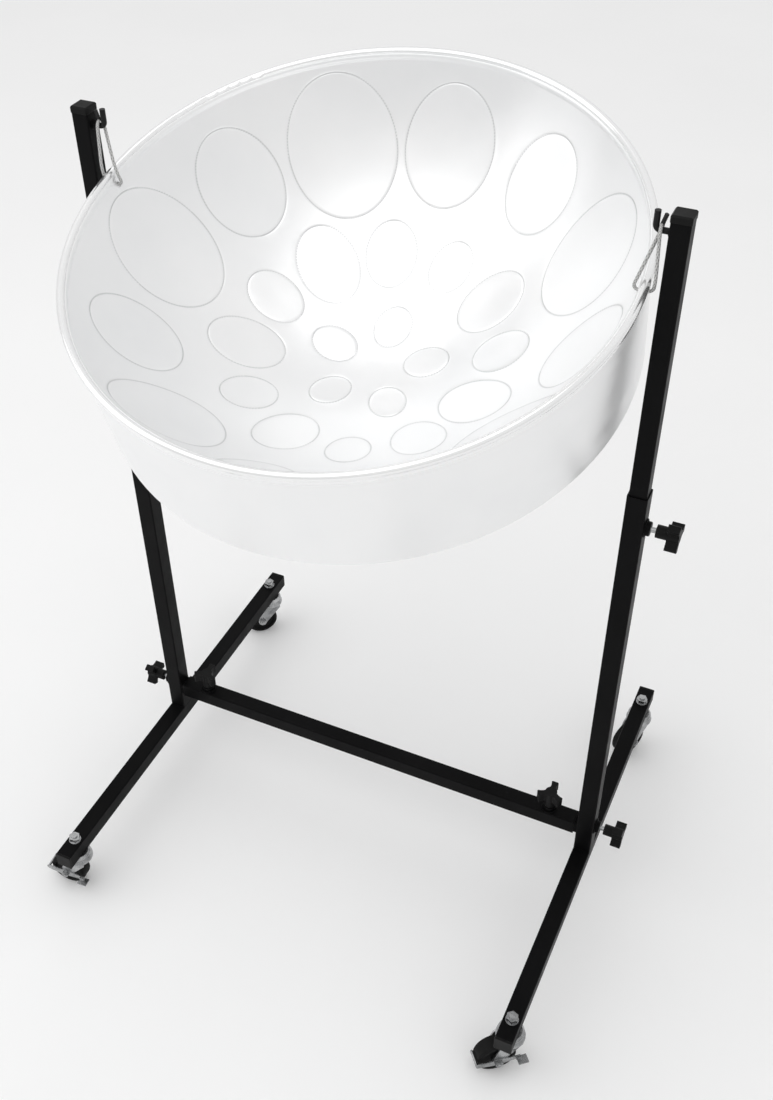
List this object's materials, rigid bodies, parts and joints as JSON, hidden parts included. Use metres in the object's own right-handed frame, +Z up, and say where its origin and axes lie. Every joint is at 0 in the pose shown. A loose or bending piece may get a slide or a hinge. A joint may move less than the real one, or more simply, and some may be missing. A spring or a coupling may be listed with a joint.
{
  "type": "tenor steel pan on a stand",
  "caption": "Chromed tenor steel pan with a sunk playing bowl, hung by cord loops from a knock-down telescoping stand on swivel casters.",
  "frame": {"origin": "on the floor, under the middle of the whole assembly's footprint", "axes": "+Z up, +X the player's right along the crossbar, +Y away from the player"},
  "size_m": [0.716, 0.6221, 1],
  "materials": {
    "black_powder_coat": "satin, lightly textured",
    "chrome_plate": "polished",
    "zinc_plate": "bright zinc plating",
    "black_plastic": "moulded, fine texture",
    "black_wheel_rubber": "matt",
    "hook_black": "gloss black",
    "grey_cord": "braided",
    "dark_sleeve": "ribbed, matt"
  },
  "bodies": {
    "stand": {"crossbar": "black_powder_coat", "crossbar_weld_bosses": "black_powder_coat", "foot_tube_left": "black_powder_coat", "foot_tube_right": "black_powder_coat", "foot_stub_left": "black_powder_coat", "foot_stub_right": "black_powder_coat", "lower_upright_left": "black_powder_coat", "lower_upright_right": "black_powder_coat", "crossbar_stub_left": "black_powder_coat", "crossbar_stub_right": "black_powder_coat", "upright_weld_bosses": "black_powder_coat", "foot_end_plugs": "black_plastic", "caster_mounts": "zinc_plate", "caster_washers": "zinc_plate", "caster_stem_nuts": "zinc_plate"},
    "left_post": {"upper_post_left": "black_powder_coat", "post_cap_left": "black_plastic", "hook_left": "hook_black"},
    "right_post": {"upper_post_right": "black_powder_coat", "post_cap_right": "black_plastic", "hook_right": "hook_black"},
    "pan": {"pan_bowl": "chrome_plate", "pan_skirt": "chrome_plate", "pan_rim": "chrome_plate", "cord_loop_left": "grey_cord", "cord_loop_right": "grey_cord", "cord_sleeve_left": "dark_sleeve", "cord_sleeve_right": "dark_sleeve"},
    "front_left_fork": {"caster_fork_front_left": "zinc_plate", "caster_axle_front_left": "zinc_plate"},
    "front_left_wheel": {"caster_wheel_front_left": "black_wheel_rubber"},
    "front_left_brake": {"brake_lever_front_left": "zinc_plate"},
    "front_right_fork": {"caster_fork_front_right": "zinc_plate", "caster_axle_front_right": "zinc_plate"},
    "front_right_wheel": {"caster_wheel_front_right": "black_wheel_rubber"},
    "front_right_brake": {"brake_lever_front_right": "zinc_plate"},
    "rear_left_fork": {"caster_fork_rear_left": "zinc_plate", "caster_axle_rear_left": "zinc_plate"},
    "rear_left_wheel": {"caster_wheel_rear_left": "black_wheel_rubber"},
    "rear_right_fork": {"caster_fork_rear_right": "zinc_plate", "caster_axle_rear_right": "zinc_plate"},
    "rear_right_wheel": {"caster_wheel_rear_right": "black_wheel_rubber"},
    "height_knob_left": {"height_knob_left_head": "black_plastic", "height_knob_left_screw": "zinc_plate"},
    "height_knob_right": {"height_knob_right_head": "black_plastic", "height_knob_right_screw": "zinc_plate"},
    "foot_knob_left": {"foot_knob_left_head": "black_plastic", "foot_knob_left_screw": "zinc_plate"},
    "foot_knob_right": {"foot_knob_right_head": "black_plastic", "foot_knob_right_screw": "zinc_plate"},
    "crossbar_knob_left": {"crossbar_knob_left_head": "black_plastic", "crossbar_knob_left_screw": "zinc_plate"},
    "crossbar_knob_right": {"crossbar_knob_right_head": "black_plastic", "crossbar_knob_right_screw": "zinc_plate"}
  },
  "joints": [
    {"name": "height_left", "type": "slide", "parent": "stand", "child": "left_post", "axis": [0, 0, 1], "range_m": [-0.15, 0.15]},
    {"name": "height_right", "type": "slide", "parent": "stand", "child": "right_post", "axis": [0, 0, 1], "range_m": [-0.15, 0.15]},
    {"name": "pan_swing", "type": "hinge", "parent": "left_post", "child": "pan", "pos_m": [0, 0.00605, 0.97], "axis": [1, 0, 0], "range_deg": [-35, 35]},
    {"name": "swivel_front_left", "type": "hinge", "parent": "stand", "child": "front_left_fork", "pos_m": [-0.31, -0.26895, 0.068], "axis": [0, 0, 1], "continuous": true},
    {"name": "roll_front_left", "type": "hinge", "parent": "front_left_fork", "child": "front_left_wheel", "pos_m": [-0.32843, -0.27056, 0.025], "axis": [0.0872, -0.9962, 0], "continuous": true},
    {"name": "brake_front_left", "type": "hinge", "parent": "front_left_fork", "child": "front_left_brake", "pos_m": [-0.32843, -0.27056, 0.025], "axis": [0.0872, -0.9962, 0], "range_deg": [0, 20]},
    {"name": "swivel_front_right", "type": "hinge", "parent": "stand", "child": "front_right_fork", "pos_m": [0.31, -0.26895, 0.068], "axis": [0, 0, 1], "continuous": true},
    {"name": "roll_front_right", "type": "hinge", "parent": "front_right_fork", "child": "front_right_wheel", "pos_m": [0.29604, -0.28109, 0.025], "axis": [0.6561, -0.7547, 0], "continuous": true},
    {"name": "brake_front_right", "type": "hinge", "parent": "front_right_fork", "child": "front_right_brake", "pos_m": [0.29604, -0.28109, 0.025], "axis": [0.6561, -0.7547, 0], "range_deg": [0, 20]},
    {"name": "swivel_rear_left", "type": "hinge", "parent": "stand", "child": "rear_left_fork", "pos_m": [-0.31, 0.28105, 0.068], "axis": [0, 0, 1], "continuous": true},
    {"name": "roll_rear_left", "type": "hinge", "parent": "rear_left_fork", "child": "rear_left_wheel", "pos_m": [-0.32353, 0.26843, 0.025], "axis": [0.682, -0.7314, 0], "continuous": true},
    {"name": "swivel_rear_right", "type": "hinge", "parent": "stand", "child": "rear_right_fork", "pos_m": [0.31, 0.28105, 0.068], "axis": [0, 0, 1], "continuous": true},
    {"name": "roll_rear_right", "type": "hinge", "parent": "rear_right_fork", "child": "rear_right_wheel", "pos_m": [0.30189, 0.26442, 0.025], "axis": [0.8988, -0.4384, 0], "continuous": true},
    {"name": "turn_height_knob_left", "type": "hinge", "parent": "stand", "child": "height_knob_left", "pos_m": [-0.321, 0.00605, 0.64], "axis": [-1, 0, 0], "range_deg": [-360, 0]},
    {"name": "turn_height_knob_right", "type": "hinge", "parent": "stand", "child": "height_knob_right", "pos_m": [0.321, 0.00605, 0.64], "axis": [1, 0, 0], "range_deg": [-360, 0]},
    {"name": "turn_foot_knob_left", "type": "hinge", "parent": "stand", "child": "foot_knob_left", "pos_m": [-0.321, 0.00605, 0.134], "axis": [-1, 0, 0], "range_deg": [-360, 0]},
    {"name": "turn_foot_knob_right", "type": "hinge", "parent": "stand", "child": "foot_knob_right", "pos_m": [0.321, 0.00605, 0.134], "axis": [1, 0, 0], "range_deg": [-360, 0]},
    {"name": "turn_crossbar_knob_left", "type": "hinge", "parent": "stand", "child": "crossbar_knob_left", "pos_m": [-0.258, 0.00605, 0.139], "axis": [0, 0, 1], "range_deg": [-360, 0]},
    {"name": "turn_crossbar_knob_right", "type": "hinge", "parent": "stand", "child": "crossbar_knob_right", "pos_m": [0.258, 0.00605, 0.139], "axis": [0, 0, 1], "range_deg": [-360, 0]}
  ],
  "couplings": [
    {"joint": "height_right", "follows": "height_left", "ratio": 1}
  ]
}
